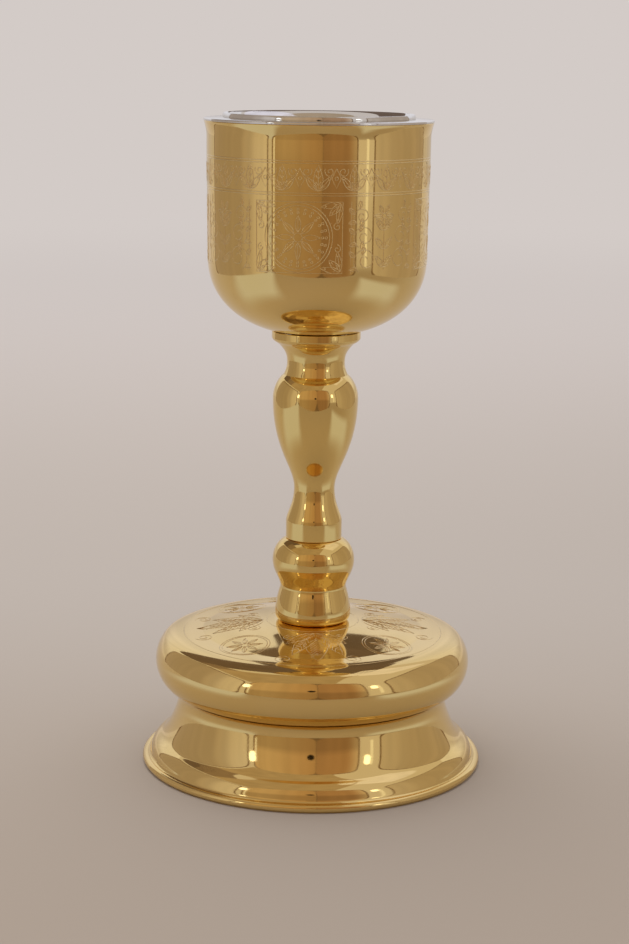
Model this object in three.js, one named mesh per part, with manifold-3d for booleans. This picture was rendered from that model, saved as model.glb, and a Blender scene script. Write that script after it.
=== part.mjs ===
// A chalice: a two-shell foot, a turned stem on a tie rod, a gilt cup and a loose drinking bowl.
// Millimetres, +Z up. The origin is the centre of the ring that the foot stands on.
// A "rise" is the height from one level of an outline to the next: each height is a sum of rises.
import * as THREE from 'three';
import { mergeVertices } from 'three/addons/utils/BufferGeometryUtils.js';
import Module from 'manifold-3d';

// Height of the cup's rim above the table
const rimHeight = 250;

// Facets round a full turn
const shellFacets = 40;
const stemFacets = 32;
const smallFacets = 24;

// Walls and play
const footWall = 1.0;
const cupWall = 1.0;
const linerWall = 1.2;
const collarWall = 3.4;
const solderGap = 0.2;
const spigotPlay = 0.3;
const rodPlay = 0.5;
const threadPlay = 0.3;
const linerPlay = 0.5;

// Hem ring under the foot's edge: a round wire with a flat to stand on and a rebate for the skirt
const footRadius = 66.8;
const hemRadius = 1.6;
const hemFlat = 1.4;
const hemToeAngle = -60;
const hemHeelHeight = 0.4;
const rebateDepth = 1.2;
const skirtInset = 2.5;

// Lower foot shell: a skirt, a rounded step, a ledge and a cove up to the waist
const skirtRise = 3.3;
const stepEdgeInset = 0.7;
const stepEdgeRise = 1.1;
const stepLean = 14;
const stepWidth = 4.4;
const stepRise = 5.8;
const ledgeSlope = 38;
const coveWidth = 6.6;
const coveRise = 15.9;
const seamTongue = 2.5;

// Upper foot shell: a round belly under a nearly flat crown
const bellyBulge = 9.0;
const bellyRise = 14.8;
const bellyRound = 13;
const bellyTopAngle = 42;
const bellyBottomAngle = -38;
const crownRadius = 43;
const crownRise = 11.6;
const crownSlope = 11;
const seatRise = 3.8;
const seatSlope = 3.4;
const seatMargin = 0.3;
const footHoleRadius = 6.3;

// Lower knop: an upright foot that flares in to a waist, and a swelling with a round top
const knopFootRadius = 14.8;
const knopFootRound = 0.6;
const knopFootRise = 6.1;
const knopEdgeInset = 0.2;
const knopEdgeLean = 22;
const knopEdgeRise = 0.9;
const knopWaistRadius = 12.9;
const knopWaistRise = 6.9;
const swellingRadius = 16;
const swellingRise = 10.4;
const knopTopRadius = 11.1;
const knopTopSlope = 25;
const knopTopRise = 8.7;

// Baluster
const bellRadius = 10.9;
const bellRound = 0.5;
const bellRise = 6.8;
const neckRadius = 7.9;
const neckRise = 13.2;
const vaseRadius = 16.5;
const vaseRise = 35.5;
const shoulderRadius = 12.3;
const shoulderRise = 9.1;
const shoulderSlope = 37;

// Collar
const collarNeckRadius = 11.15;
const collarNeckRise = 4.3;
const collarFootLean = 20;
const collarFlareRadius = 14.4;
const collarFlareRise = 7.5;
const collarFlareAngle = 45;
const discRadius = 17.1;
const discUnderRise = 2.4;
const discThickness = 2.6;
const discEdge = 0.4;
const dishDepth = 1.6;
const dishMargin = 1;

// Spigots that centre the stem's pieces on each other, and the tie rod through them
const spigotRadius = 5.2;
const spigotLength = 3.5;
const socketExtra = 0.5;
const footSpigotShare = 0.7;
const rodRadius = 3;
const rodChamfer = 0.6;
const rodStickOut = 3;

// Cup and the boss under it
const cupRimRadius = 43.4;
const cupLipFlare = 1.05;
const cupLipHeight = 5.4;
const cupLipLean = 17;
const cupTaper = 0.55;
const cupBowlRise = 30.8;
const bowlSquareness = 2.26;
const cupSeatWidth = 1.3;
const bossHeight = 10;
const bossRoof = 2;

// Drinking bowl and its flange
const linerAirGap = 5.85;
const linerStep = 0.4;
const linerFloorGap = 5;
const linerBowlRise = 27;
const linerFlatRadius = 9;
const lipFlare = 1;
const lipRise = 2.9;
const lipThickness = 2.2;
const lipLean = 24;
const flangeOverhang = 0.1;
const flangeThickness = 1;
const flangeFall = 0.3;
const flangeSkirtWall = 0.9;
const flangeSkirtDepth = 2.5;

// Fastening under the foot
const plateRadius = 11.5;
const plateThickness = 2;
const springRadius = 5.4;
const springThickness = 1.6;
const springSlit = 1.2;
const nutAcrossFlats = 10;
const nutThickness = 5;
const nutChamfer = 0.5;

// Directions in the profile plane, in degrees
const upward = 90;
const inward = 180;

// How long each curve keeps the direction of its lower and its upper end, as shares of its chord
const stepPull = [0.55, 0.28];
const covePull = [0.2, 0.25];
const underPull = [0.46, 0.51];
const crownEdgePull = [0.25, 0.1];
const evenPull = [0.34, 0.34];
const knopWaistPull = [0.42, 0.22];
const swellingPull = [0.27, 0.43];
const knopTopPull = [0.4, 0.34];
const bellPull = [0.24, 0.51];
const vasePull = [0.22, 0.56];
const shoulderPull = [0.3, 0.35];
const collarFlarePull = [0.3, 0.56];
const lipPull = [0.1, 0.6];

// Levels above the table
const ledgeHeight = skirtRise + stepEdgeRise + stepRise;
const waistHeight = ledgeHeight + coveRise;
const bellyHeight = waistHeight + bellyRise;
const crownHeight = bellyHeight + crownRise;
const knopSeat = crownHeight + seatRise;
const knopHeight = knopFootRise + knopEdgeRise + knopWaistRise + swellingRise + knopTopRise;
const balusterSeat = knopSeat + knopHeight;
const balusterHeight = bellRise + neckRise + vaseRise + shoulderRise;
const collarSeat = balusterSeat + balusterHeight;
const collarHeight = collarNeckRise + collarFlareRise + discUnderRise + discThickness;
const cupSeat = collarSeat + collarHeight - dishDepth;
const cupHeight = rimHeight - cupSeat;
const plateSeat = knopSeat - footWall - plateThickness;
const springSeat = plateSeat - springThickness;
const nutSeat = springSeat - nutThickness;

// Radii that follow from others
const skirtRadius = footRadius - skirtInset;
const stepEdgeRadius = skirtRadius - stepEdgeInset;
const ledgeRadius = stepEdgeRadius - stepWidth;
const waistRadius = ledgeRadius - coveWidth;
const boreRadius = rodRadius + rodPlay;
const threadRadius = rodRadius + threadPlay;
const bossRadius = collarNeckRadius - collarWall - spigotPlay;
const cupFlatRadius = bossRadius + spigotPlay + cupSeatWidth;
const cupWallTop = cupRimRadius - cupLipFlare;
const cupInside = cupWallTop - cupWall;
const linerRadius = cupInside - linerAirGap;

const gilt = new THREE.MeshStandardMaterial({ color: 0xd9a94e, roughness: 0.08, metalness: 1 });
const silver = new THREE.MeshStandardMaterial({ color: 0xd6d2cc, roughness: 0.07, metalness: 1 });
const brass = new THREE.MeshStandardMaterial({ color: 0xb08d45, roughness: 0.3, metalness: 1 });
const steel = new THREE.MeshStandardMaterial({ color: 0x9a9a98, roughness: 0.35, metalness: 1 });

const wasm = await Module();
wasm.setup();

function at(radius, height) {
  return new THREE.Vector2(radius, height);
}

// A unit step in the profile plane: 0 degrees points away from the axis, 90 degrees points up
function toward(degrees) {
  const angle = THREE.MathUtils.degToRad(degrees);
  return at(Math.cos(angle), Math.sin(angle));
}

// A curve that leaves one point along one direction and reaches the next along another
function sweep(from, leave, to, arrive, pull, steps) {
  const distance = from.distanceTo(to);
  const first = from.clone().addScaledVector(toward(leave), pull[0] * distance);
  const second = to.clone().addScaledVector(toward(arrive), -pull[1] * distance);
  return new THREE.CubicBezierCurve(from, first, second, to).getPoints(steps);
}

function arc(centre, radius, fromDegrees, toDegrees, steps) {
  const points = [];
  for (let i = 0; i <= steps; i += 1) {
    const angle = THREE.MathUtils.lerp(fromDegrees, toDegrees, i / steps);
    points.push(centre.clone().addScaledVector(toward(angle), radius));
  }
  return points;
}

// Joins runs of points into one outline and leaves out points that repeat
function outline(...runs) {
  const tiny = 1e-4;
  return runs.flat().filter((point, i, all) => i === 0 || point.distanceTo(all[i - 1]) > tiny);
}

// The inner face of a spun wall, from its top down: every other outer point, moved in square to it
function innerFace(outer, wall) {
  const inner = [];
  for (let i = 1; i < outer.length - 1; i += 2) {
    const along = outer[i + 1].clone().sub(outer[i - 1]).normalize();
    inner.unshift(at(outer[i].x - along.y * wall, outer[i].y + along.x * wall));
  }
  return inner;
}

// Turns an outline that starts and ends on the axis
function turned(points, facets) {
  return new THREE.LatheGeometry(points, facets).rotateX(Math.PI / 2);
}

// Turns an outline that stays clear of the axis: it runs up the outside and down the inside to its start
function turnedRing(points, facets) {
  return turned([...points, points[0].clone()], facets);
}

function piece(name, geometry, material, height) {
  const mesh = new THREE.Mesh(geometry, material);
  mesh.name = name;
  mesh.position.z = height;
  return mesh;
}

function footRimRing() {
  const centre = at(footRadius - hemRadius, hemRadius);
  const wall = skirtRadius + solderGap;
  const heel = skirtRadius - footWall;
  const topAngle = THREE.MathUtils.radToDeg(Math.acos((wall - centre.x) / hemRadius));
  const flat = [at(centre.x - hemFlat / 2, 0), at(centre.x + hemFlat / 2, 0)];
  const round = arc(centre, hemRadius, hemToeAngle, topAngle, 8);
  const rebate = [at(wall, rebateDepth), at(heel, rebateDepth), at(heel, hemHeelHeight)];
  return turnedRing(outline(flat, round, rebate), shellFacets);
}

function footFlare() {
  const skirt = [at(skirtRadius, rebateDepth), at(skirtRadius, skirtRise)];
  const stepEdge = at(stepEdgeRadius, skirtRise + stepEdgeRise);
  const ledge = at(ledgeRadius, ledgeHeight);
  const waist = at(waistRadius, waistHeight);
  const step = sweep(stepEdge, upward + stepLean, ledge, inward - ledgeSlope, stepPull, 5);
  const cove = sweep(ledge, inward - ledgeSlope, waist, upward, covePull, 7);
  const outside = outline(skirt, step, cove);
  const tongueOutside = waistRadius - footWall - solderGap;
  const tongueInside = tongueOutside - footWall;
  const tongue = [
    at(tongueOutside, waistHeight),
    at(tongueOutside, waistHeight + seamTongue),
    at(tongueInside, waistHeight + seamTongue),
    at(tongueInside, waistHeight - seamTongue),
  ];
  const inside = innerFace(outside, footWall).slice(1);
  const skirtInside = at(skirtRadius - footWall, rebateDepth);
  return turnedRing(outline(outside, tongue, inside, [skirtInside]), shellFacets);
}

function footDome() {
  const waist = at(waistRadius, waistHeight);
  const bellyCentre = at(waistRadius + bellyBulge - bellyRound, bellyHeight);
  const belly = arc(bellyCentre, bellyRound, bellyBottomAngle, bellyTopAngle, 7);
  const under = sweep(waist, upward, belly[0], bellyBottomAngle + upward, underPull, 5);
  const crown = at(crownRadius, crownHeight);
  const edge = sweep(belly.at(-1), bellyTopAngle + upward, crown, inward - crownSlope, crownEdgePull, 6);
  const seat = at(knopFootRadius - knopFootRound + seatMargin, knopSeat);
  const top = sweep(crown, inward - crownSlope, seat, inward - seatSlope, evenPull, 3);
  const outside = outline(under, belly, edge, top);
  const hole = [at(footHoleRadius, knopSeat), at(footHoleRadius, knopSeat - footWall)];
  const seatInside = at(seat.x - footWall, knopSeat - footWall);
  const waistInside = at(waistRadius - footWall, waistHeight);
  const inside = innerFace(outside, footWall);
  return turnedRing(outline(outside, hole, [seatInside], inside, [waistInside]), shellFacets);
}

// The middle of a stem piece, from its top down: a socket, the rod's bore and a spigot
function stemBore(top, socketRadius, socketDepth, lowerSpigotRadius, lowerSpigotLength) {
  return [
    at(socketRadius, top),
    at(socketRadius, top - socketDepth),
    at(boreRadius, top - socketDepth),
    at(boreRadius, -lowerSpigotLength),
    at(lowerSpigotRadius, -lowerSpigotLength),
    at(lowerSpigotRadius, 0),
  ];
}

function lowerKnop() {
  const wallTop = at(knopFootRadius, knopFootRise);
  const edge = at(knopFootRadius - knopEdgeInset, wallTop.y + knopEdgeRise);
  const waist = at(knopWaistRadius, edge.y + knopWaistRise);
  const swelling = at(swellingRadius, waist.y + swellingRise);
  const top = at(knopTopRadius, knopHeight);
  const bottom = arc(at(knopFootRadius - knopFootRound, knopFootRound), knopFootRound, -upward, 0, 2);
  const wall = sweep(wallTop, upward, edge, upward + knopEdgeLean, evenPull, 2);
  const flare = sweep(edge, upward + knopEdgeLean, waist, upward, knopWaistPull, 5);
  const swell = sweep(waist, upward, swelling, upward, swellingPull, 6);
  const roundTop = sweep(swelling, upward, top, inward - knopTopSlope, knopTopPull, 5);
  const socket = spigotRadius + spigotPlay;
  const foot = footHoleRadius - spigotPlay;
  const bore = stemBore(knopHeight, socket, spigotLength + socketExtra, foot, footWall * footSpigotShare);
  return turnedRing(outline(bottom, wall, flare, swell, roundTop, bore), stemFacets);
}

function baluster() {
  const bottom = arc(at(bellRadius - bellRound, bellRound), bellRound, -upward, 0, 2);
  const bellTop = at(bellRadius, bellRise);
  const neck = at(neckRadius, bellTop.y + neckRise);
  const widest = at(vaseRadius, neck.y + vaseRise);
  const top = at(shoulderRadius, balusterHeight);
  const bell = sweep(bellTop, upward, neck, upward, bellPull, 6);
  const vase = sweep(neck, upward, widest, upward, vasePull, 9);
  const shoulder = sweep(widest, upward, top, inward - shoulderSlope, shoulderPull, 5);
  const socket = spigotRadius + spigotPlay;
  const bore = stemBore(balusterHeight, socket, spigotLength + socketExtra, spigotRadius, spigotLength);
  return turnedRing(outline(bottom, bell, vase, shoulder, bore), stemFacets);
}

function stemCollar() {
  const foot = at(shoulderRadius, 0);
  const neck = at(collarNeckRadius, collarNeckRise);
  const flare = at(collarFlareRadius, neck.y + collarFlareRise);
  const discBottom = collarHeight - discThickness;
  const lower = sweep(foot, upward + collarFootLean, neck, upward, evenPull, 4);
  const upper = sweep(neck, upward, flare, collarFlareAngle, collarFlarePull, 5);
  const disc = [
    at(discRadius, discBottom),
    at(discRadius, collarHeight - discEdge),
    at(discRadius - discEdge, collarHeight),
    at(cupFlatRadius + dishMargin, collarHeight - dishDepth),
  ];
  const socket = bossRadius + spigotPlay;
  const depth = bossHeight + socketExtra;
  const bore = stemBore(collarHeight - dishDepth, socket, depth, spigotRadius, spigotLength);
  return turnedRing(outline(lower, upper, disc, bore), stemFacets);
}

// A bowl's section from the edge of its flat floor up to its straight side: a rounded square
function bowlCurve(radius, rise, flatRadius, floor, steps) {
  const power = 2 / bowlSquareness;
  const start = Math.acos((flatRadius / radius) ** (1 / power));
  const points = [at(flatRadius, floor)];
  for (let i = 1; i <= steps; i += 1) {
    const angle = start * (1 - i / steps);
    points.push(at(radius * Math.cos(angle) ** power, floor + rise * (1 - Math.sin(angle) ** power)));
  }
  return points;
}

function cup() {
  const side = cupWallTop - cupTaper;
  const lipBottom = cupHeight - cupLipHeight;
  const outside = bowlCurve(side, cupBowlRise, cupFlatRadius, 0, 9);
  const rim = at(cupRimRadius, cupHeight);
  const lip = sweep(at(cupWallTop, lipBottom), upward, rim, upward - cupLipLean, lipPull, 4);
  const rimInside = [at(cupRimRadius - cupWall, cupHeight), at(cupInside, lipBottom)];
  const inside = bowlCurve(side - cupWall, cupBowlRise - cupWall, cupFlatRadius, cupWall, 7).reverse();
  return turned(outline([at(0, 0)], outside, lip, rimInside, inside, [at(0, cupWall)]), shellFacets);
}

function cupBoss() {
  return turned([
    at(0, -bossRoof),
    at(threadRadius, -bossRoof),
    at(threadRadius, -bossHeight),
    at(bossRadius, -bossHeight),
    at(bossRadius, 0),
    at(0, 0),
  ], smallFacets);
}

function linerBowl() {
  const floor = cupWall + linerFloorGap - cupHeight;
  const body = linerRadius + linerStep;
  const outside = bowlCurve(body, linerBowlRise, linerFlatRadius, floor, 8);
  const insideRise = linerBowlRise - linerWall;
  const inside = bowlCurve(body - linerWall, insideRise, linerFlatRadius, floor + linerWall, 7).reverse();
  const step = [at(body, 0), at(linerRadius, 0)];
  const lipCentre = at(linerRadius + lipFlare - lipThickness / 2, lipRise - lipThickness / 2);
  const lip = arc(lipCentre, lipThickness / 2, -lipLean, inward, 6);
  const neck = at(linerRadius, flangeThickness + flangeFall);
  const throat = at(linerRadius - linerWall, 0);
  const floorInside = at(0, floor + linerWall);
  const points = outline([at(0, floor)], outside, step, [neck], lip, [throat], inside, [floorInside]);
  return turned(points, shellFacets);
}

function linerFlange() {
  const hole = linerRadius + solderGap;
  const skirtOutside = cupInside - linerPlay;
  const skirtInside = skirtOutside - flangeSkirtWall;
  const edge = cupRimRadius + flangeOverhang;
  return turnedRing([
    at(hole, 0),
    at(skirtInside, 0),
    at(skirtInside, -flangeSkirtDepth),
    at(skirtOutside, -flangeSkirtDepth),
    at(skirtOutside, 0),
    at(edge, 0),
    at(edge, flangeThickness),
    at(hole, flangeThickness + flangeFall),
  ], shellFacets);
}

function tieRod() {
  const length = cupSeat - bossRoof - nutSeat + rodStickOut;
  return turned([
    at(0, 0),
    at(rodRadius - rodChamfer, 0),
    at(rodRadius, rodChamfer),
    at(rodRadius, length - rodChamfer),
    at(rodRadius - rodChamfer, length),
    at(0, length),
  ], smallFacets);
}

function spreaderPlate() {
  return turnedRing([
    at(boreRadius, 0),
    at(plateRadius, 0),
    at(plateRadius, plateThickness),
    at(boreRadius, plateThickness),
  ], smallFacets);
}

// A flat ring with a slit, drawn as one band that runs round from one side of the slit to the other
function springWasher() {
  const slit = springSlit / springRadius;
  const band = new THREE.Shape();
  band.absarc(0, 0, springRadius, slit / 2, 2 * Math.PI - slit / 2, false);
  band.absarc(0, 0, boreRadius, 2 * Math.PI - slit / 2, slit / 2, true);
  return new THREE.ExtrudeGeometry(band, {
    depth: springThickness,
    bevelEnabled: false,
    curveSegments: smallFacets,
  });
}

function toSolid(geometry) {
  const bare = geometry.index ? geometry.clone() : geometry;
  bare.deleteAttribute('normal');
  bare.deleteAttribute('uv');
  const merged = mergeVertices(bare);
  return new wasm.Manifold(new wasm.Mesh({
    numProp: 3,
    vertProperties: merged.attributes.position.array,
    triVerts: new Uint32Array(merged.index.array),
  }));
}

function toGeometry(solid) {
  const mesh = solid.getMesh();
  const geometry = new THREE.BufferGeometry();
  geometry.setAttribute('position', new THREE.BufferAttribute(mesh.vertProperties, 3));
  geometry.setIndex(new THREE.BufferAttribute(mesh.triVerts, 1));
  return geometry;
}

// A hexagon prism whose corners are turned off at both ends, with a round hole
function tieNut() {
  const corner = nutAcrossFlats / Math.sqrt(3);
  const hexagon = new THREE.Shape();
  for (let i = 0; i < 6; i += 1) {
    const angle = (i * Math.PI) / 3;
    hexagon.lineTo(corner * Math.cos(angle), corner * Math.sin(angle));
  }
  const prism = new THREE.ExtrudeGeometry(hexagon, { depth: nutThickness, bevelEnabled: false });
  const chamfered = turnedRing([
    at(threadRadius, 0),
    at(nutAcrossFlats / 2, 0),
    at(corner + nutChamfer, nutChamfer * 2),
    at(corner + nutChamfer, nutThickness - nutChamfer * 2),
    at(nutAcrossFlats / 2, nutThickness),
    at(threadRadius, nutThickness),
  ], smallFacets);
  return toGeometry(toSolid(prism).intersect(toSolid(chamfered)));
}

const chalice = new THREE.Group();
chalice.add(
  piece('foot_rim_ring', footRimRing(), gilt, 0),
  piece('foot_flare', footFlare(), gilt, 0),
  piece('foot_dome', footDome(), gilt, 0),
  piece('lower_knop', lowerKnop(), gilt, knopSeat),
  piece('baluster', baluster(), gilt, balusterSeat),
  piece('stem_collar', stemCollar(), gilt, collarSeat),
  piece('cup', cup(), gilt, cupSeat),
  piece('cup_boss', cupBoss(), brass, cupSeat),
  piece('liner_bowl', linerBowl(), silver, rimHeight),
  piece('liner_flange', linerFlange(), silver, rimHeight),
  piece('tie_rod', tieRod(), steel, nutSeat - rodStickOut),
  piece('spreader_plate', spreaderPlate(), brass, plateSeat),
  piece('spring_washer', springWasher(), steel, springSeat),
  piece('tie_nut', tieNut(), brass, nutSeat),
);

export default chalice;
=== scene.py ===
import math

import bmesh
import bpy
from mathutils import Euler, Matrix, Vector, geometry


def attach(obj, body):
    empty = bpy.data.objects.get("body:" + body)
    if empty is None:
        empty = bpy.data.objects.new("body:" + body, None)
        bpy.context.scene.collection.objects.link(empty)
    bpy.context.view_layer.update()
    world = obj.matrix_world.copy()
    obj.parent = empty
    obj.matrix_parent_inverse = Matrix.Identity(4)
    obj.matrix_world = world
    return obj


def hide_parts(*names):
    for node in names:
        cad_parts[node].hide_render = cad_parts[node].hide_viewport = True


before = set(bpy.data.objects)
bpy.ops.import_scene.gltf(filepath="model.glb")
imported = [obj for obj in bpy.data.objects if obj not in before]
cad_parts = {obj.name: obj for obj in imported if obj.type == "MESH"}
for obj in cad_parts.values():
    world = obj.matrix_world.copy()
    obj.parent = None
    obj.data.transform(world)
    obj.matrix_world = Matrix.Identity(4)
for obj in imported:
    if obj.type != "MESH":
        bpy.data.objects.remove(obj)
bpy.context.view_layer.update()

# Hem ring
# The foot stands on a round brass wire that is rolled into the edge of the lower shell and gilded with it.
# It is drawn in millimetres from the middle of the table under the foot, as every section after it is.
mm = 0.001
weld_distance = 0.0001
plate_patch = 38
cloth_mark = 9
hem_radius = 1.6
hem_centre = (65.2, hem_radius)
hem_flat_half = 0.7
hem_outer_angle = -64
hem_inner_angle = 112
rebate_wall = 64.5
rebate_height = 1.2
rebate_top = 3.0
hem_heel = 63.3
hem_heel_height = 0.4


def arc(centre, radius, start, end, steps):
    """Points on a circle, from one angle to another in degrees."""
    angles = [math.radians(start + (end - start) * i / steps) for i in range(steps + 1)]
    return [(centre[0] + radius * math.cos(a), centre[1] + radius * math.sin(a)) for a in angles]


def turned(name, outline, is_ring=True, turns=256, sharp_angle=25):
    """Spins an outline round the axis. A ring's outline closes on itself, the others end on the axis."""
    shape = bmesh.new()
    corners = [shape.verts.new((r * mm, 0, z * mm)) for r, z in outline]
    sides = [shape.edges.new(pair) for pair in zip(corners, corners[1:])]
    if is_ring:
        sides.append(shape.edges.new((corners[-1], corners[0])))
    bmesh.ops.spin(
        shape, geom=corners + sides, cent=(0, 0, 0), axis=(0, 0, 1),
        angle=math.tau, steps=turns, use_merge=True,
    )
    bmesh.ops.remove_doubles(shape, verts=shape.verts, dist=weld_distance * mm)
    bmesh.ops.recalc_face_normals(shape, faces=shape.faces)
    for face in shape.faces:
        face.smooth = True
    for edge in shape.edges:
        edge.smooth = edge.calc_face_angle(0) < math.radians(sharp_angle)
    return finished(name, shape)


def finished(name, shape):
    """Turns a bmesh into an object of the scene."""
    mesh = bpy.data.meshes.new(name)
    shape.to_mesh(mesh)
    shape.free()
    piece = bpy.data.objects.new(name, mesh)
    bpy.context.scene.collection.objects.link(piece)
    return piece


def linear(code):
    """An sRGB hex colour as the linear colour that a shader takes."""
    parts = [int(code[i:i + 2], 16) / 255 for i in (1, 3, 5)]
    return [c / 12.92 if c <= 0.04045 else ((c + 0.055) / 1.055) ** 2.4 for c in parts] + [1]


def add(tree, kind, inputs=None, **settings):
    """Adds a node. An input is a value, or the socket that feeds it."""
    node = tree.nodes.new(kind)
    for key, value in settings.items():
        setattr(node, key, value)
    for key, value in (inputs or {}).items():
        if isinstance(value, bpy.types.NodeSocket):
            tree.links.new(value, node.inputs[key])
        else:
            node.inputs[key].default_value = value
    return node


def reckon(tree, kind, first, second=0.0):
    """Works out a value from one or two others."""
    return add(tree, "ShaderNodeMath", {0: first, 1: second}, operation=kind).outputs["Value"]


def distance(tree, place):
    """How far a place is from the origin."""
    return add(tree, "ShaderNodeVectorMath", {0: place}, operation="LENGTH").outputs["Value"]


def mix(tree, share, first, second):
    """Mixes two colours."""
    return add(tree, "ShaderNodeMix", {"Factor": share, 6: first, 7: second}, data_type="RGBA").outputs[2]


def whereabouts(tree):
    """The place on a surface, and its three axes."""
    place = add(tree, "ShaderNodeTexCoord").outputs["Object"]
    return place, add(tree, "ShaderNodeSeparateXYZ", {"Vector": place}).outputs


def blank_material(name):
    """A new material and its empty node tree."""
    material = bpy.data.materials.new(name)
    material.use_nodes = True
    material.node_tree.nodes.clear()
    return material, material.node_tree


def polished_metal(name, pale, deep, smooth, worn, ring_spacing, ring_depth):
    """Plated metal that was turned or spun and then buffed: the plate's thickness shifts its colour softly,
    cloth marks make some places less sharp, and faint rings from the lathe run round the axis."""
    material, tree = blank_material(name)
    place, axes = whereabouts(tree)
    plate = add(tree, "ShaderNodeTexNoise", {"Vector": place, "Scale": 1 / (plate_patch * mm), "Detail": 2})
    marks = add(tree, "ShaderNodeTexNoise", {"Vector": place, "Scale": 1 / (cloth_mark * mm), "Detail": 5})
    gloss = add(tree, "ShaderNodeMapRange", {
        "Value": marks.outputs["Fac"], "From Min": 0.35, "From Max": 0.7, "To Min": smooth, "To Max": worn,
    })
    flat = add(tree, "ShaderNodeCombineXYZ", {"X": axes["X"], "Y": axes["Y"]}).outputs["Vector"]
    rings = add(tree, "ShaderNodeTexNoise", {
        "W": reckon(tree, "ADD", distance(tree, flat), axes["Z"]),
        "Scale": 1 / (ring_spacing * mm), "Detail": 1,
    }, noise_dimensions="1D")
    relief = add(tree, "ShaderNodeBump", {
        "Strength": 1, "Distance": ring_depth * mm, "Height": rings.outputs["Fac"],
    })
    surface = add(tree, "ShaderNodeBsdfPrincipled", {
        "Base Color": mix(tree, plate.outputs["Fac"], linear(pale), linear(deep)),
        "Metallic": 1, "Roughness": gloss.outputs["Result"], "Normal": relief.outputs["Normal"],
    })
    add(tree, "ShaderNodeOutputMaterial", {"Surface": surface.outputs["BSDF"]})
    return material


def dress(piece, material, slot, *nodes, body="chalice"):
    """Gives a piece its finish, hangs it on the body it rides on, and hides the model's parts that it stands
    for.
    """
    piece.data.materials.clear()
    piece.data.materials.append(material)
    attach(piece, body)
    if nodes:
        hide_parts(*nodes)


# Gold plate on spun brass, buffed to a mirror: pale gold, with orange only where gold mirrors gold
spun_gilt = polished_metal(
    "spun_gilt", "#EFD392", "#EACA7E", smooth=0.045, worn=0.09, ring_spacing=1.4, ring_depth=0.0008,
)

hem_ring = turned("hem_ring", [
    *arc(hem_centre, hem_radius, hem_outer_angle, hem_inner_angle, steps=26),
    (rebate_wall, rebate_top),
    (rebate_wall, rebate_height),
    (hem_heel, rebate_height),
    (hem_heel, hem_heel_height),
    (hem_centre[0] - hem_flat_half, 0),
    (hem_centre[0] + hem_flat_half, 0),
])
dress(hem_ring, spun_gilt, "gilt", "foot_rim_ring")

# Lower foot shell
# Sheet brass 1 mm thick, spun over a former into a rounded step, a ledge and a cove up to the waist.
# Its skirt sits in the hem ring, and a tongue soldered inside the waist carries the upper shell.
upward = 90
inward = 180
sheet = 1.0
solder_gap = 0.2
skirt_radius = 64.3
skirt_inner_top = 4.2
crease = (64.62, 3.12)
crease_heading = 155
step_edge = (63.6, 4.4)
step_heading = upward + 14
ledge = (59.2, 10.2)
ledge_heading = inward - 38
waist = (52.6, 26.1)
seam_tongue = 2.5
seam_clearance = 1


def sweep(start, leave, end, arrive, pull, steps):
    """A curve that leaves one point along one direction and reaches the next along another, in degrees."""
    first, last = Vector(start), Vector(end)
    distance = (last - first).length
    out = Vector((math.cos(math.radians(leave)), math.sin(math.radians(leave)))) * distance * pull[0]
    into = Vector((math.cos(math.radians(arrive)), math.sin(math.radians(arrive)))) * distance * pull[1]
    curve = geometry.interpolate_bezier(
        first.to_3d(), (first + out).to_3d(), (last - into).to_3d(), last.to_3d(), steps + 1,
    )
    return [tuple(point.xy) for point in curve]


def chain(*runs):
    """Joins runs of points, without the points that repeat."""
    closest = 0.01
    points = []
    for point in (point for run in runs for point in run):
        if not points or math.dist(point, points[-1]) > closest:
            points.append(point)
    return points


def inner_face(outside, wall):
    """The inside of a spun wall, from its top down: the outside moved in square to itself."""
    inside = []
    for before, point, after in zip(outside, outside[1:], outside[2:]):
        along = Vector((after[0] - before[0], after[1] - before[1])).normalized()
        inside.append((point[0] - along.y * wall, point[1] + along.x * wall))
    return inside[::-1]


fillet = sweep(crease, crease_heading, step_edge, step_heading, pull=(0.4, 0.4), steps=6)
step = sweep(step_edge, step_heading, ledge, ledge_heading, pull=(0.55, 0.28), steps=22)
cove = sweep(ledge, ledge_heading, waist, upward, pull=(0.2, 0.25), steps=34)
flare_outside = chain([(skirt_radius, rebate_height), (skirt_radius, rebate_top)], fillet, step, cove)
tongue_outside = waist[0] - sheet - solder_gap
tongue_inside = tongue_outside - sheet
flare_inside = inner_face(chain(step, cove), sheet)
foot_flare = turned("foot_lower_shell", chain(
    flare_outside,
    [
        (tongue_outside, waist[1]),
        (tongue_outside, waist[1] + seam_tongue),
        (tongue_inside, waist[1] + seam_tongue),
        (tongue_inside, waist[1] - seam_tongue),
    ],
    [point for point in flare_inside if point[1] < waist[1] - seam_tongue - seam_clearance],
    [(skirt_radius - sheet, skirt_inner_top), (skirt_radius - sheet, rebate_height)],
))
dress(foot_flare, spun_gilt, "gilt", "foot_flare")

# Upper foot shell
# A second spun shell: a round belly that is drawn in below to the waist, under a crown that is almost flat.
# A flat seat in its middle carries the stem, and a hole lets the tie rod through.
belly_round = 13
belly_overhang = 9.0
belly_rise = 14.8
belly_centre = (waist[0] + belly_overhang - belly_round, waist[1] + belly_rise)
belly_low_angle = -38
belly_top_angle = 42
crown_edge = (43, 52.5)
crown_heading = inward - 11
knop_seat = 56.3
seat_edge = (14.5, knop_seat)
seat_heading = inward - 3.4
foot_hole = 6.3

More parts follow.
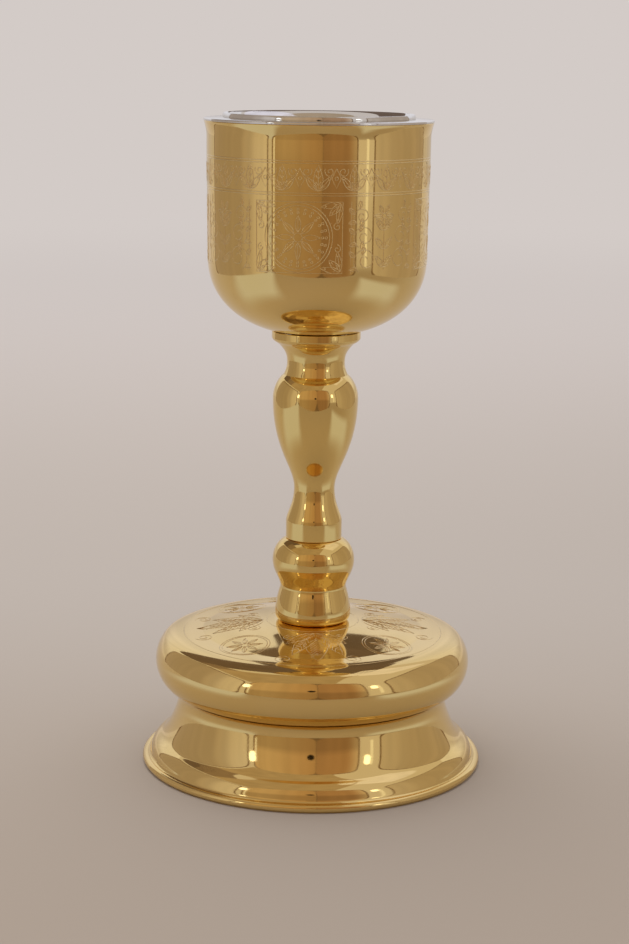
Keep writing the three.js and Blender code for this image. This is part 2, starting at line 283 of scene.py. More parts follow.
belly = arc(belly_centre, belly_round, belly_low_angle, belly_top_angle, steps=40)
belly_under = sweep(waist, upward, belly[0], belly_low_angle + upward, pull=(0.46, 0.51), steps=20)
belly_fold = sweep(
    belly[-1], belly_top_angle + upward, crown_edge, crown_heading, pull=(0.25, 0.1), steps=34,
)
crown = sweep(crown_edge, crown_heading, seat_edge, seat_heading, pull=(0.34, 0.34), steps=30)
dome_outside = chain(belly_under, belly, belly_fold, crown)
foot_dome = turned("foot_upper_shell", chain(
    dome_outside,
    [(foot_hole, knop_seat), (foot_hole, knop_seat - sheet), (seat_edge[0] - sheet, knop_seat - sheet)],
    inner_face(dome_outside, sheet),
    [(waist[0] - sheet, waist[1])],
))
dress(foot_dome, spun_gilt, "gilt", "foot_dome")

# Lower knop
# Solid brass turned in one piece: a round bead that tapers up to a waist, and a swelling with a round top.
# It is drilled for the tie rod, with a socket on top and a short spigot in the foot's hole.
rod_bore = 3.5
spigot = 5.2
spigot_length = 3.5
side_gap = 0.3
end_gap = 0.5
socket = spigot + side_gap
socket_depth = spigot_length + end_gap
knop_spigot_length = 0.7
bead_radius = 14.8
bead_round = 3.2
bead_height = 3.0
bead_low_angle = -math.degrees(math.asin(bead_height / bead_round))
bead_top = (13.15, 12.7)
bead_heading = upward + 17
knop_waist = (12.9, 13.9)
knop_widest = (16, 24.3)
knop_top_radius = 11.1
knop_height = 33
knop_top_heading = inward - 25


def raised(points, height):
    """Lifts an outline that starts at its own seat to its place on the stem."""
    return [(r, z + height) for r, z in points]


def bore(top, socket_radius, depth, spigot_radius, length):
    """The middle of a stem piece, from its top down: socket, rod hole and spigot."""
    return [
        (socket_radius, top),
        (socket_radius, top - depth),
        (rod_bore, top - depth),
        (rod_bore, -length),
        (spigot_radius, -length),
        (spigot_radius, 0),
    ]


# Gold plate on turned brass: the same plate over a harder base, so its rings are finer and its gloss sharper
turned_gilt = polished_metal(
    "turned_gilt", "#EED18C", "#E9C878", smooth=0.035, worn=0.075, ring_spacing=0.9, ring_depth=0.0005,
)

bead_under = arc((bead_radius - bead_round, bead_height), bead_round, bead_low_angle, 0, steps=14)
bead_side = sweep(bead_under[-1], upward, bead_top, bead_heading, pull=(0.34, 0.3), steps=20)
bead_fillet = sweep(bead_top, bead_heading, knop_waist, upward, pull=(0.3, 0.3), steps=5)
knop_swelling = sweep(knop_waist, upward, knop_widest, upward, pull=(0.27, 0.43), steps=26)
knop_top = sweep(
    knop_widest, upward, (knop_top_radius, knop_height), knop_top_heading, pull=(0.4, 0.34), steps=26,
)
knop_hole = bore(knop_height, socket, socket_depth, foot_hole - side_gap, knop_spigot_length)
knop = turned("lower_knop_turned", raised(
    chain(bead_under, bead_side, bead_fillet, knop_swelling, knop_top, knop_hole), knop_seat,
))
dress(knop, turned_gilt, "gilt", "lower_knop")

# Baluster
# The grip of the chalice, solid brass turned in one piece: a short bell, a narrow neck and a long vase.
# A spigot under the bell centres it on the knop, and a socket on top takes the collar.
baluster_seat = knop_seat + knop_height
baluster_height = 64.6
bell_radius = 10.9
bell_rise = 6.8
bell_round = 0.5
baluster_neck = (7.9, 20)
baluster_widest = (16.5, 55.5)
shoulder_radius = 12.3
shoulder_heading = inward - 37
bell_bottom = arc((bell_radius - bell_round, bell_round), bell_round, -upward, 0, steps=5)
bell = sweep((bell_radius, bell_rise), upward, baluster_neck, upward, pull=(0.24, 0.51), steps=26)
vase = sweep(baluster_neck, upward, baluster_widest, upward, pull=(0.22, 0.56), steps=48)
shoulder_top = (shoulder_radius, baluster_height)
shoulder = sweep(baluster_widest, upward, shoulder_top, shoulder_heading, pull=(0.3, 0.35), steps=26)
baluster_hole = bore(baluster_height, socket, socket_depth, spigot, spigot_length)
baluster = turned("baluster_turned", raised(
    chain(bell_bottom, bell, vase, shoulder, baluster_hole), baluster_seat,
))
dress(baluster, turned_gilt, "gilt", "baluster")

# Collar
# A short waisted neck that ends in the flat disc under the cup, turned from one piece of brass.
# The boss of the cup fits down into it, so the disc carries the bowl.
collar_seat = baluster_seat + baluster_height
collar_height = 16.8
collar_foot_heading = upward + 20
collar_waist = (11.15, 4.3)
collar_top = (14.4, 11.8)
collar_top_heading = 45
disc_radius = 17.1
disc_under = 14.2
disc_under_heading = 70
disc_edge = 0.4
dish_depth = 1.6
dish_margin = 1
boss_radius = 7.45
boss_height = 10
boss_fillet = 1.6
cup_flat = boss_radius + boss_fillet
collar_neck = sweep(
    (shoulder_radius, 0), collar_foot_heading, collar_waist, upward, pull=(0.34, 0.34), steps=14,
)
collar_flare = sweep(collar_waist, upward, collar_top, collar_top_heading, pull=(0.3, 0.56), steps=20)
disc = chain(
    sweep(
        collar_top, collar_top_heading, (disc_radius, disc_under), disc_under_heading,
        pull=(0.3, 0.4), steps=8,
    ),
    arc((disc_radius - disc_edge, collar_height - disc_edge), disc_edge, 0, upward, steps=6),
    [(cup_flat + dish_margin, collar_height - dish_depth)],
)
collar_hole = bore(
    collar_height - dish_depth, boss_radius + side_gap, boss_height + end_gap, spigot, spigot_length,
)
collar = turned("stem_collar_turned", raised(
    chain(collar_neck, collar_flare, disc, collar_hole), collar_seat,
))
dress(collar, turned_gilt, "gilt", "stem_collar")

# Cup
# The gilt outer bowl, spun from 1 mm sheet: an almost upright wall over a full rounded bottom that sits in
# the dished disc. Its lip is turned out a little, and cut flat for the flange of the drinking bowl.
cup_seat = collar_seat + collar_height - dish_depth
cup_rim = 250
cup_side = 41.8
cup_wall_top = 42.35
cup_rim_radius = 43.4
cup_inside = cup_wall_top - sheet
lip_bottom = cup_rim - 5.4
lip_heading = upward - 17
bowl_rise = 30.8
bowl_squareness = 2.26
rim_edge = 0.25


def bowl_curve(radius, rise, flat_radius, floor, steps):
    """A bowl from the edge of its flat floor up to its straight side: a circle that is a little square."""
    power = 2 / bowl_squareness
    start = math.acos((flat_radius / radius) ** (1 / power))
    points = [(flat_radius, floor)]
    for i in range(1, steps + 1):
        angle = start * (1 - i / steps)
        height = floor + rise * (1 - math.sin(angle) ** power)
        points.append((radius * math.cos(angle) ** power, height))
    return points


cup_outside = bowl_curve(cup_side, bowl_rise, cup_flat, cup_seat, steps=64)
wall_top = (cup_wall_top, lip_bottom)
cup_wall = sweep(
    (cup_side, cup_seat + bowl_rise), upward, wall_top, upward, pull=(0.3, 0.3), steps=12,
)
cup_lip = sweep(
    wall_top, upward, (cup_rim_radius, cup_rim), lip_heading, pull=(0.1, 0.6), steps=12,
)
cup_hollow = bowl_curve(cup_side - sheet, bowl_rise - sheet, cup_flat, cup_seat + sheet, steps=40)[::-1]
cup = turned("cup_bowl", chain(
    [(0, cup_seat)], cup_outside, cup_wall, cup_lip[:-1],
    arc((cup_rim_radius - rim_edge, cup_rim - rim_edge), rim_edge, 0, upward, steps=5),
    [(cup_rim_radius - sheet, cup_rim), (cup_inside, lip_bottom)], cup_hollow, [(0, cup_seat + sheet)],
), is_ring=False)
dress(cup, spun_gilt, "gilt", "cup")

# Boss, spreader plate, nut, rod and washer
# Turned brass that was never plated, and drawn steel, out of sight in the stem and under the foot. The rod is
# screwed into the boss under the cup, and plate, washer and nut pull the stem together on it from below.
raw_brass = polished_metal(
    "raw_turned_brass", "#C9A55E", "#B48E49", smooth=0.22, worn=0.38, ring_spacing=0.6, ring_depth=0.004,
)
drawn_steel = polished_metal(
    "drawn_steel", "#A9A8A4", "#8F8E8B", smooth=0.28, worn=0.42, ring_spacing=0.5, ring_depth=0.003,
)
for material, nodes in (
    (raw_brass, ("cup_boss", "spreader_plate", "tie_nut")), (drawn_steel, ("tie_rod", "spring_washer")),
):
    for node in nodes:
        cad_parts[node].data.materials.clear()
        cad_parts[node].data.materials.append(material)

# Drinking bowl
# White metal under silver plate, spun 1.2 mm thick. Its mouth is a thicker ring, bevelled inward for
# drinking. It hangs in the cup by its flange and lifts straight out for washing.
liner_wall = 1.2
liner_neck = 35.5
liner_step = 0.4
liner_body = liner_neck + liner_step
air_gap = 5
liner_floor = cup_seat + sheet + air_gap
liner_rise = 27
liner_flat = 9
flange_rise = 1.3
flange_top = cup_rim + flange_rise
lip_root = (36.4, flange_top)
lip_root_heading = upward - 4
lip_round = 0.2
lip_rise = 2.9
lip_top = (36.0, cup_rim + lip_rise - lip_round)
lip_outer_angle = 20
lip_inner_angle = 118
mouth = (33.6, 250.6)
mouth_heading = -128
bevel_heading = -152
throat_height = 240

# Silver plate, buffed: nearly white, and as clear as the gold beside it
silver_plate = polished_metal(
    "silver_plate", "#E9E7E3", "#DEDCD8", smooth=0.04, worn=0.09, ring_spacing=1.2, ring_depth=0.0006,
)

liner_outside = bowl_curve(liner_body, liner_rise, liner_flat, liner_floor, steps=40)
liner_inside = liner_body - liner_wall
liner_hollow = bowl_curve(
    liner_inside, liner_rise - liner_wall, liner_flat, liner_floor + liner_wall, steps=56,
)[::-1]
lip = arc(lip_top, lip_round, lip_outer_angle, lip_inner_angle, steps=8)
lip_side = sweep(
    lip_root, lip_root_heading, lip[0], lip_outer_angle + upward, pull=(0.4, 0.4), steps=10,
)
bevel = sweep(lip[-1], bevel_heading, mouth, mouth_heading, pull=(0.35, 0.35), steps=14)
throat = sweep(
    mouth, mouth_heading, (liner_inside, throat_height), -upward, pull=(0.1, 0.5), steps=14,
)
liner = turned("drinking_bowl_spun", chain(
    [(0, liner_floor)], liner_outside,
    [(liner_body, cup_rim), (liner_neck, cup_rim), (liner_neck, flange_top)],
    lip_side, lip, bevel, throat, liner_hollow, [(0, liner_floor + liner_wall)],
), is_ring=False)
dress(liner, silver_plate, "silver", "liner_bowl", body="drinking_bowl")

# Flange of the drinking bowl
# A flat silver-plated ring soldered round the bowl's neck. It covers the cup's rim and hides the gap,
# and a low skirt under it keeps the bowl in the middle of the cup.
flange_edge = 43.5
flange_edge_height = 1
flange_round = 0.35
flange_top_angle = 85
skirt_gap = 0.5
skirt_wall = 0.9
skirt_drop = 2.5
skirt_outside = cup_inside - skirt_gap
skirt_inside = skirt_outside - skirt_wall
flange_hole = liner_neck + solder_gap
flange = turned("bowl_flange_ring", raised([
    (flange_hole, 0),
    (skirt_inside, 0),
    (skirt_inside, -skirt_drop),
    (skirt_outside, -skirt_drop),
    (skirt_outside, 0),
    *arc((flange_edge - flange_round, flange_round), flange_round, -upward, 0, steps=5),
    *arc(
        (flange_edge - flange_round, flange_edge_height - flange_round), flange_round,
        0, flange_top_angle, steps=5,
    ),
    (flange_hole, flange_rise),
], cup_rim))
dress(flange, silver_plate, "silver", "liner_flange", body="drinking_bowl")

# Engraved band
# Upright leaves, scrolls and lozenges between double lines round the cup, cut into the gilt by hand and
# left bright. Each line is a ridge of two narrow facets, a third of a millimetre wide and a few hundredths
# proud of the wall, because a cut that narrow shows by its facets.
line_half_width = 0.17
cup_lift = 0.3
crown_lift = 0.6
leaf_steps = 8
leaf_shape = 0.8
midrib_share = 0.8
vein_start = 0.22
vein_run = 0.5
vein_forward = 0.14
vein_out = 0.28
scroll_steps = 26
scroll_wind = 0.82
eye_share = 0.2
petal_root = 0.24
petal_length = 0.76
petal_girth = 1.5
petal_overlap = 1.3
cut_gilt = polished_metal(
    "cut_gilt", "#F6DFAE", "#EFD291", smooth=0.12, worn=0.2, ring_spacing=0.7, ring_depth=0.001,
)


def leaf(x, y, heading, length, width, veins=3):
    """A pointed leaf with a midrib and slanting veins."""
    turn = math.radians(heading)
    along = Vector((math.cos(turn), math.sin(turn)))
    across = Vector((-along.y, along.x))
    foot = Vector((x, y))
    edges = []
    for side in (1, -1):
        edge = []
        for i in range(leaf_steps + 1):
            share = i / leaf_steps
            bulge = width / 2 * math.sin(math.pi * share ** leaf_shape)
            edge.append(foot + along * length * share + across * side * bulge)
        edges.append(edge)
    strokes = [edges[0] + edges[1][::-1][1:-1] + [edges[0][0]]]
    strokes.append([foot, foot + along * length * midrib_share])
    for i in range(veins):
        share = vein_start + vein_run * i / max(veins - 1, 1)
        root = foot + along * length * share
        for side in (1, -1):
            tip = root + along * length * vein_forward + across * side * width * vein_out
            strokes.append([root, tip])
    return strokes


def ring(x, y, radius, steps=48):
    """A circle."""
    return [[
        Vector((x + radius * math.cos(math.tau * i / steps), y + radius * math.sin(math.tau * i / steps)))
        for i in range(steps + 1)
    ]]


def scroll(x, y, radius, heading, turns, hand):
    """A spiral that winds in to its eye."""
    steps = int(scroll_steps * turns)
    points = []
    for i in range(steps + 1):
        share = i / steps
        angle = math.radians(heading) + hand * math.tau * turns * share
        reach = radius * (1 - scroll_wind * share)
        points.append(Vector((x + reach * math.cos(angle), y + reach * math.sin(angle))))
    return [points]


def rosette(x, y, radius, petals):
    """Leaves round an eye."""
    strokes = ring(x, y, radius * eye_share, steps=16)
    width = radius * petal_girth / petals * petal_overlap
    for i in range(petals):
        heading = 360 * i / petals
        turn = math.radians(heading)
        root = (x + radius * petal_root * math.cos(turn), y + radius * petal_root * math.sin(turn))
        strokes += leaf(*root, heading, radius * petal_length, width, veins=0)
    return strokes


def engraved(name, strokes, place, lift_share):
    """Lays flat strokes on a surface as fine ridges."""
    curve = bpy.data.curves.new(name, "CURVE")
    curve.dimensions = "3D"
    curve.twist_mode = "Z_UP"
    curve.bevel_depth = line_half_width
    curve.bevel_resolution = 0
    curve.use_fill_caps = True
    for points in strokes:
        line = curve.splines.new("POLY")
        line.points.add(len(points) - 1)
        for knot, point in zip(line.points, points):
            knot.co = (point[0], point[1], 0, 1)
    flat = bpy.data.objects.new(name + "_flat", curve)
    bpy.context.scene.collection.objects.link(flat)
    graph = bpy.context.evaluated_depsgraph_get()
    mesh = bpy.data.meshes.new_from_object(flat.evaluated_get(graph))
    bpy.data.objects.remove(flat)
    mesh.name = name
    for vertex in mesh.vertices:
        x, y, lift = vertex.co
        vertex.co = place(x, y, lift * lift_share) * mm
    piece = bpy.data.objects.new(name, mesh)
    bpy.context.scene.collection.objects.link(piece)
    dress(piece, cut_gilt, "gilt")


def at_height(outline, height):
    """The radius of an outline at a height."""
    for low, high in zip(outline, outline[1:]):
        if low[1] <= height <= high[1]:
            share = (height - low[1]) / max(high[1] - low[1], weld_distance)
            return low[0] + (high[0] - low[0]) * share
    return outline[-1][0]


def on_cup(x, y, lift):
    """Wraps a flat drawing round the cup: x runs round it to the right, y is the height."""
    radius = at_height(cup_profile, y) + lift
    angle = x / cup_side - math.pi / 2
    return Vector((radius * math.cos(angle), radius * math.sin(angle), y))


cup_profile = chain(cup_outside, cup_wall, cup_lip)
cup_girth = math.tau * cup_side
band_low = 225.0
band_high = 237.4
band_middle = (band_low + band_high) / 2
border = 0.9
girth_steps = 160
motif_count = 20
motif = cup_girth / motif_count
stem_foot = 1.6
side_foot = (0.6, 1.8)
scroll_spot = (4.1, 2.4)
lozenge_tall, lozenge_wide = 3.6, 1.7
lozenge = [
    (0, lozenge_tall), (lozenge_wide, 0), (0, -lozenge_tall), (-lozenge_wide, 0), (0, lozenge_tall),
]
band = []
for height in (band_low, band_low + border, band_high - border, band_high):
    band += [[Vector((cup_girth * i / girth_steps, height)) for i in range(girth_steps + 1)]]
for i in range(motif_count):
    x = i * motif
    band += leaf(x, band_low + stem_foot, upward, length=9.4, width=3.4, veins=3)
    for side in (-1, 1):
        foot = (x + side * side_foot[0], band_low + side_foot[1])
        band += leaf(*foot, upward - side * 38, length=6.6, width=2.2, veins=2)
        eye = (x + side * scroll_spot[0], band_middle + scroll_spot[1])
        band += scroll(*eye, radius=1.9, heading=upward + side * 60, turns=1.3, hand=side)
    band += [[Vector((x + motif / 2 + dx, band_middle + dy)) for dx, dy in lozenge]]
    band += ring(x + motif / 2, band_middle, radius=0.6, steps=10)
engraved("cup_band_engraving", band, on_cup, cup_lift)

# Engraved field
# Cut into the cup under the band: four framed medallions, each a rosette in two rings of dots with leaves in
# the corners of its frame, and upright panels between them with a flower on a stem and scrolls at both sides.
field_low = 197.0
field_high = 222.8
field_middle = (field_low + field_high) / 2
field_height = field_high - field_low
frame_steps = 24
quarter = cup_girth / 4
medallion_offset = -9.8 / 360 * cup_girth
medallion_width = 44.4 / 360 * cup_girth
medallion_rings = (12.6, 11.5)
dot_count = 24
dot_reaches = (9.0, 10.3)
dot_radius = 0.42
corner_inset = 0.7
corner_swing = 36
corner_scroll = (1.2, 8.2)
strip_width = 4.4 / 360 * cup_girth
stem_low = 1
stem_high = 8
flower_drop = 5.2
scroll_margin = 0.8
scroll_rows = ((4.6, 4.9), (13.2, 4.4), (20.6, 3.4))
scroll_start = 150
scroll_leaves = 4
first_leaf = 20
leaf_spacing = 55
leaf_root = 0.9
leaf_lean = 30
stem_leaf_rows = (2.0, 8.6, 15.4)
field = []
for i in range(4):
    x = medallion_offset + i * quarter
    half = medallion_width / 2
    for radius in medallion_rings:
        field += ring(x, field_middle, radius, steps=96)
    field += rosette(x, field_middle, radius=8.2, petals=8)
    for k in range(dot_count):
        turn = math.tau * k / dot_count
        for reach in dot_reaches:
            spot = (x + reach * math.cos(turn), field_middle + reach * math.sin(turn))
            field += ring(*spot, dot_radius, steps=8)
    for side in (-1, 1):
        field += [[Vector((x + side * half, field_low)), Vector((x + side * half, field_high))]]
        for end in (-1, 1):
            corner = (
                x + side * (half - corner_inset),
                field_middle + end * (field_height / 2 - corner_inset),
            )
            heading = math.degrees(math.atan2(-end, -side))
            field += leaf(*corner, heading, length=6.0, width=2.4, veins=2)
            for swing in (-corner_swing, corner_swing):
                field += leaf(*corner, heading + swing, length=7.4, width=2.2, veins=2)
            eye = (corner[0] - side * corner_scroll[0], corner[1] - end * corner_scroll[1])
            field += scroll(*eye, radius=1.5, heading=upward, turns=1.2, hand=side * end)
    for end in (field_low, field_high):
        field += [[
            Vector((x - half + medallion_width * k / frame_steps, end)) for k in range(frame_steps + 1)
        ]]
    left = x + half + strip_width
    width = quarter - medallion_width - 2 * strip_width
    middle = left + width / 2
    for edge in (left, left + width):
        field += [[Vector((edge, field_low)), Vector((edge, field_high))]]
    field += [[Vector((middle, field_low + stem_low)), Vector((middle, field_high - stem_high))]]
    field += rosette(middle, field_high - flower_drop, radius=4.6, petals=6)
    for side in (-1, 1):
        for level, reach in scroll_rows:
            eye = (middle + side * (width / 2 - reach - scroll_margin), field_low + level)
            field += scroll(*eye, reach, upward - side * scroll_start, turns=1.6, hand=side)
            for k in range(scroll_leaves):
                heading = upward - side * (first_leaf + leaf_spacing * k)
                turn = math.radians(heading)
                out = reach * leaf_root
                root = (eye[0] + out * math.cos(turn), eye[1] + out * math.sin(turn))
                if root[1] > field_low + stem_low:
                    field += leaf(*root, heading + side * leaf_lean, length=3.0, width=1.5, veins=0)
        for level in stem_leaf_rows:
            field += leaf(middle, field_low + level, upward - side * 42, length=5.6, width=2.2, veins=2)
engraved("cup_field_engraving", field, on_cup, cup_lift)


# Engraved crown
# Cut into the foot's crown between two rings: four round medallions with rosettes, and between them sprays of
# veined leaves with scrolls. The lines are a little deeper than those of the cup.
def on_crown(x, y, lift):
    """Lays a flat drawing on the foot's crown, as seen from above."""
    reach = math.hypot(x, y)
    for inner, outer in zip(crown_profile, crown_profile[1:]):
        if inner[0] <= reach <= outer[0]:
            share = (reach - inner[0]) / (outer[0] - inner[0])
            return Vector((x, y, inner[1] + (outer[1] - inner[1]) * share + lift))
    return Vector((x, y, crown_profile[-1][1] + lift))


def at_bearing(bearing, reach):
    """A point on the crown by its bearing in degrees and its distance from the axis."""
    turn = math.radians(bearing)
    return Vector((math.cos(turn), math.sin(turn))) * reach


crown_profile = chain(belly_fold, crown)[::-1]
crown_rings = (18.0, 50.6)
first_medallion = 138
medallion_reach = 38.5
crown_medallion_rings = (9.6, 8.6)
spray_reach = 19.5
spray_offset = 45
outer_scroll = (17, 44.5)
inner_scroll = (22, 25.5)
foot_lines = []
for reach in crown_rings:
    foot_lines += ring(0, 0, reach, steps=160)
for i in range(4):
    heading = first_medallion + 90 * i
    centre = at_bearing(heading, medallion_reach)
    for radius in crown_medallion_rings:
        foot_lines += ring(*centre, radius, steps=64)
    foot_lines += rosette(*centre, radius=6.9, petals=8)
    spray = heading + spray_offset
    root = at_bearing(spray, spray_reach)
    foot_lines += leaf(*root, spray, length=26, width=9, veins=8)
    for side in (-1, 1):
        foot_lines += leaf(*root, spray + side * 26, length=22, width=6.4, veins=6)
        foot_lines += leaf(*root, spray + side * 50, length=15, width=5, veins=4)
        eye = at_bearing(spray + side * outer_scroll[0], outer_scroll[1])
        foot_lines += scroll(*eye, radius=3.6, heading=spray, turns=1.7, hand=side)
        eye = at_bearing(heading + side * inner_scroll[0], inner_scroll[1])
        foot_lines += scroll(*eye, radius=2.8, heading=heading + inward, turns=1.6, hand=side)
engraved("foot_crown_engraving", foot_lines, on_crown, crown_lift)

# Studio
# A pale table that runs on into a pale wall, lit from a wide lamp above, all in metres. Cloth walls and a
# roof stand round the front and the sides, with lamps at the two front corners: only the metal shows them.
floor_side = 12.0
wall_colour = "#D3CBC7"
level_turn = (0, 0, 0)
upright_turn = (90, 0, 0)


def panel(name, size, spot, turn, material, corner=0):
    """A flat sheet of the studio, with its corners rounded where it has a radius."""
    shape = bmesh.new()
    bmesh.ops.create_grid(shape, x_segments=1, y_segments=1, size=0.5)
    bmesh.ops.scale(shape, vec=(size[0], size[1], 1), verts=shape.verts)
    if corner:
        bmesh.ops.bevel(
            shape, geom=shape.verts[:], offset=corner, affect="VERTICES",
            segments=8, profile=0.5, material=-1,
        )
    place = Matrix.Translation(spot) @ Euler([math.radians(a) for a in turn]).to_matrix().to_4x4()
    bmesh.ops.transform(shape, matrix=place, verts=shape.verts)
    piece = finished(name, shape)
    piece.data.materials.append(material)
    return piece


def rise(tree, value, low, high):
    """Goes softly from 0 to 1 while a value goes from low to high."""
    return add(tree, "ShaderNodeMapRange", {
        "Value": value, "From Min": low, "From Max": high,
    }, interpolation_type="SMOOTHSTEP").outputs["Result"]


def fade(tree, value, low, high, first, second):
    """Goes softly from one colour to another while a value goes from low to high."""
    return mix(tree, rise(tree, value, low, high), first, second)


# Painted shade on the paper: it is darker in front, where less light reaches it, and gets paler in two runs
# towards the back; far from the chalice it turns into the wall's glow
near_run = (-0.22, 0.3)
far_run = (0.2, 1.6)
into_wall = (0.4, 2.6)
paper_material, tree = blank_material("studio_paper")
place, axes = whereabouts(tree)
# Painted shade: the front of the paper is darker, and it lightens towards the back
shaded_front_paper = fade(tree, axes["Y"], *near_run, linear("#B2A9A0"), linear("#BFBBB8"))
paper_with_painted_shade = fade(tree, axes["Y"], *far_run, shaded_front_paper, linear("#E4E1E1"))
paper = add(tree, "ShaderNodeBsdfPrincipled", {
    "Base Color": paper_with_painted_shade, "Roughness": 0.5, "Specular IOR Level": 0,
})
wall_glow = add(tree, "ShaderNodeEmission", {"Color": linear(wall_colour), "Strength": 1})
blend = add(tree, "ShaderNodeMixShader", {
    0: rise(tree, distance(tree, place), *into_wall),
    1: paper.outputs["BSDF"],
    2: wall_glow.outputs["Emission"],
})
add(tree, "ShaderNodeOutputMaterial", {"Surface": blend.outputs["Shader"]})
panel("studio_floor", (floor_side, floor_side), (0, 0, 0), level_turn, paper_material)

world = bpy.data.worlds.new("studio_wall")
bpy.context.scene.world = world
world.use_nodes = True
tree = world.node_tree
tree.nodes.clear()
background = add(tree, "ShaderNodeBackground", {"Color": linear(wall_colour), "Strength": 1})
add(tree, "ShaderNodeOutputWorld", {"Surface": background.outputs["Background"]})

lamp_data = bpy.data.lights.new("wide_lamp", "AREA")
lamp_data.shape = "DISK"
lamp_data.size = 1.0
lamp_data.energy = 7
lamp_data.color = linear("#FFF6EA")[:3]
lamp = bpy.data.objects.new("wide_lamp", lamp_data)
lamp.location = (-0.15, 0.25, 1.3)
lamp.visible_glossy = False
bpy.context.scene.collection.objects.link(lamp)

# The tent: how far its side and front walls stand off, how high its roof is, and the frame round each wall
tent_side = 0.64
tent_front = 0.57
tent_height = 0.6
tent_frame = 0.025
tent_frame_depth = 0.004
tent_corner = 0.09
roof_corner = 0.03
fold_scale = (9, 9, 0.6)
fold_dark = 0.92
fold_light = 1.08
upper_wall = (0.18, 0.25)
front_lift = 0.36


def cloth(name, first, second=None, run=("Z", 0, 1), power=1, lift=0):
    """Cloth with light behind it, in soft folds. It may change its colour along an axis, and get lighter
    towards its top."""
    material, tree = blank_material(name)
    place, axes = whereabouts(tree)
    folds = add(tree, "ShaderNodeMapping", {"Vector": place, "Scale": fold_scale})
    crease = add(tree, "ShaderNodeTexNoise", {"Vector": folds.outputs["Vector"], "Scale": 1, "Detail": 2})
    level = add(tree, "ShaderNodeMapRange", {
        "Value": crease.outputs["Fac"], "From Min": 0.3, "From Max": 0.7,
        "To Min": fold_dark * power, "To Max": fold_light * power,
    })
    upper = add(tree, "ShaderNodeMapRange", {
        "Value": axes["Z"], "From Min": upper_wall[0], "From Max": upper_wall[1],
        "To Min": 1, "To Max": 1 + lift,
    })
    axis, low, high = run
    light = add(tree, "ShaderNodeEmission", {
        "Color": fade(tree, axes[axis], low, high, linear(first), linear(second or first)),
        "Strength": reckon(tree, "MULTIPLY", level.outputs["Result"], upper.outputs["Result"]),
    })
    add(tree, "ShaderNodeOutputMaterial", {"Surface": light.outputs["Emission"]})
    return material


def mirrored_only(piece):
    """Lets only the reflections in the metal show a sheet."""
    piece.visible_camera = False
    piece.visible_diffuse = False
    piece.visible_shadow = False
    piece.visible_transmission = False


# Light falls on the floor past the front walls, in a lane on each side that starts clear of the foot and ends
# behind it. On the right the lane stops short of the side wall.
lane_edge = (-0.05, 0.05)
lane_start = (0.13, 0.26)
lane_behind = (0.14, 0.0)
lane_right = (0.5, 0.36)
lane_size = (1.4, 1.6)
lane_spot = (0.8, -0.65, 0.001)
floor_light, tree = blank_material("floor_light")
place, axes = whereabouts(tree)
past_wall = reckon(tree, "ADD", reckon(tree, "ABSOLUTE", axes["X"]), axes["Y"])
past_foot = rise(tree, distance(tree, place), *lane_start)
in_lane = reckon(tree, "MULTIPLY", rise(tree, past_wall, *lane_edge), past_foot)
in_reach = reckon(tree, "MULTIPLY", rise(tree, axes["Y"], *lane_behind), rise(tree, axes["X"], *lane_right))
blend = add(tree, "ShaderNodeMixShader", {
    0: reckon(tree, "MULTIPLY", in_lane, in_reach),
    1: add(tree, "ShaderNodeBsdfTransparent").outputs["BSDF"],
    2: add(tree, "ShaderNodeEmission", {"Color": linear("#CCCED9"), "Strength": 1}).outputs["Emission"],
})
add(tree, "ShaderNodeOutputMaterial", {"Surface": blend.outputs["Shader"]})
for side in (-1, 1):
    spot = (side * lane_spot[0], *lane_spot[1:])
    mirrored_only(panel("floor_light", lane_size, spot, level_turn, floor_light))

# Each wall: the two ends of its run, its turn and height, and its colour from one place on the run to another
frame_cloth = cloth("tent_frame", "#7A6450")
for name, start, stop, turn, tall, low, high, first, second in (
    ("front_left", -0.59, 0.04, 0, 0.6, -0.4, 0.05, "#AB957A", "#A08365"),
    ("front_right", 0.045, 0.445, 0, 0.6, 0.3, 0.5, "#93755B", "#B9A896"),
    ("side_left", -0.50, 0.55, -90, 0.54, -0.42, -0.02, "#D2C9C4", "#AA9C91"),
    ("side_right", -0.40, 0.55, 90, 0.54, -0.36, 0.0, "#BEB2A8", "#B0A296"),
):
    middle = (start + stop) / 2
    run = ("Y" if turn else "X", low, high)
    wall_cloth = cloth(f"tent_{name}", first, second, run, lift=0 if turn else front_lift)
    for part, grow, back, part_cloth in (
        ("cloth", 0, 0, wall_cloth), ("frame", tent_frame, tent_frame_depth, frame_cloth),
    ):
        depth = (tent_side if turn else tent_front) + back
        spot = (math.copysign(depth, turn), middle) if turn else (middle, -depth)
        mirrored_only(panel(
            f"tent_{name}_{part}", (stop - start + 2 * grow, tall + 2 * grow), (*spot, tall / 2),
            (90, 0, turn), part_cloth, tent_corner,
        ))

# The roof is pale in front, dark at the back and on the left, and has a window over the right
for name, left, right, front, back, colour in (
    ("roof_front", -0.64, 0.20, -0.57, 0.0, "#B09D86"),
    ("roof_left", -0.64, -0.33, 0.0, 0.30, "#907D6D"),
    ("roof_back", -0.64, 0.17, 0.17, 0.80, "#6E5E54"),
    ("roof_window", 0.12, 0.48, -0.10, 0.40, "#ECE8F4"),
):
    middle = ((left + right) / 2, (front + back) / 2, tent_height)
    roof_cloth = cloth(name, colour)
    mirrored_only(panel(name, (right - left, back - front), middle, level_turn, roof_cloth, roof_corner))

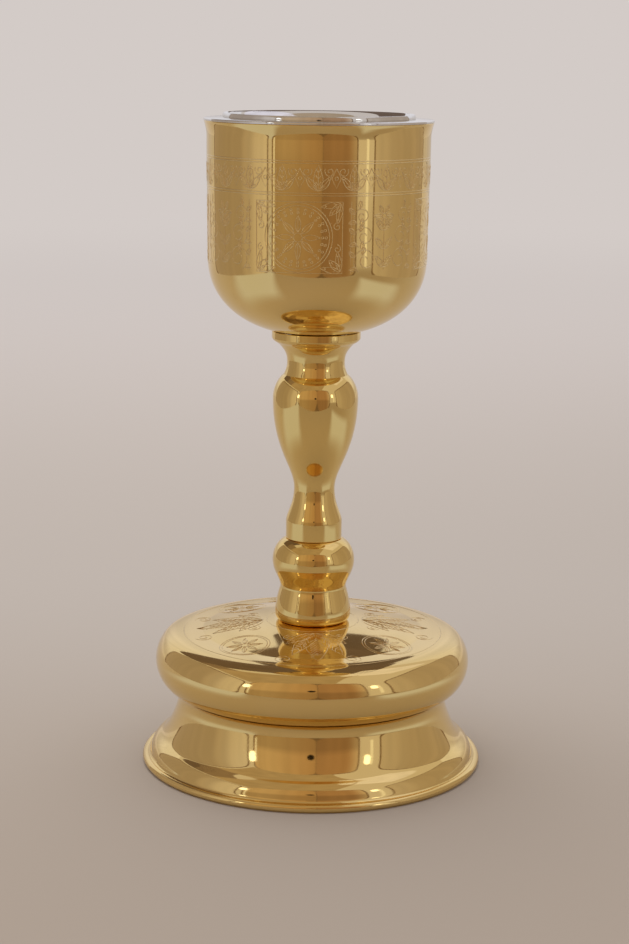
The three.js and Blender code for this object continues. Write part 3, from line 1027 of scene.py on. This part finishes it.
# At each front corner, seen as a bearing from the chalice: a lamp, and beside it a bright open seam
corner_distance = 0.79
corner_rise = 0.065
end_round = 0.49
lamp_cloth = cloth("corner_lamp", "#FFFFFF", power=2.3)
seam_cloth = cloth("corner_seam", "#EDEBEA", power=1.05)
for side, bearing, height in (("left", 47.5, 0.36), ("right", -46, 0.39)):
    turn = math.radians(bearing)
    for part, width, tall, shift, part_cloth in (
        ("lamp", 0.075, 0.15, 0, lamp_cloth), ("seam", 0.035, 0.36, 0.05, seam_cloth),
    ):
        spot = (
            -corner_distance * math.sin(turn) + shift * math.cos(turn),
            -corner_distance * math.cos(turn) - shift * math.sin(turn),
            height - tall / 2 + corner_rise,
        )
        mirrored_only(panel(
            f"corner_{part}_{side}", (width, tall), spot, (90, 0, -bearing),
            part_cloth, min(width, tall) * end_round,
        ))

# The wall behind gets brighter above the camera's view, round a dark patch of painted shade that stands for
# the unlit room behind. The flat crown mirrors both.
shade_patch_corner = 0.05
glow = cloth("back_glow", wall_colour, "#F4F2F8", ("Z", 0.12, 0.55), power=0.88)
mirrored_only(panel("back_glow", (2.8, 1.1), (0, 1.3, 0.67), upright_turn, glow))
# Painted shade: a dark sheet where the room behind lies unlit, seen only in the metal
unlit_room_shade = cloth("unlit_room_shade", "#6A5B50")
mirrored_only(panel("unlit_room_shade", (0.28, 0.6), (0.045, 1.0, 0.83), upright_turn, unlit_room_shade, shade_patch_corner))

# The camera's dark lens shows in the metal as a small dot
lens_width = 0.056
lens_round = 0.0279
lens_spot = (0, -tent_front + 0.01, 0.25)
lens = cloth("lens", "#1C1712")
mirrored_only(panel("camera_lens", (lens_width, lens_width), lens_spot, upright_turn, lens, lens_round))

# Camera
# It stands 0.8 m in front and a little above the rim, tipped down and leaning slightly to one side.
camera_distance = 0.815
camera_height = 0.2795
camera_pitch = math.degrees(0.1988)
camera_lean = 0.75
camera_data = bpy.data.cameras.new("studio_camera")
camera_data.sensor_fit = "VERTICAL"
camera_data.sensor_height = 36
camera_data.lens = 81.57
camera = bpy.data.objects.new("studio_camera", camera_data)
camera.matrix_world = (
    Matrix.Translation((0, -camera_distance, camera_height))
    @ Matrix.Rotation(math.radians(90 - camera_pitch), 4, "X")
    @ Matrix.Rotation(math.radians(camera_lean), 4, "Z")
)
bpy.context.scene.collection.objects.link(camera)
bpy.context.scene.camera = camera
bpy.context.scene.view_settings.view_transform = "Standard"
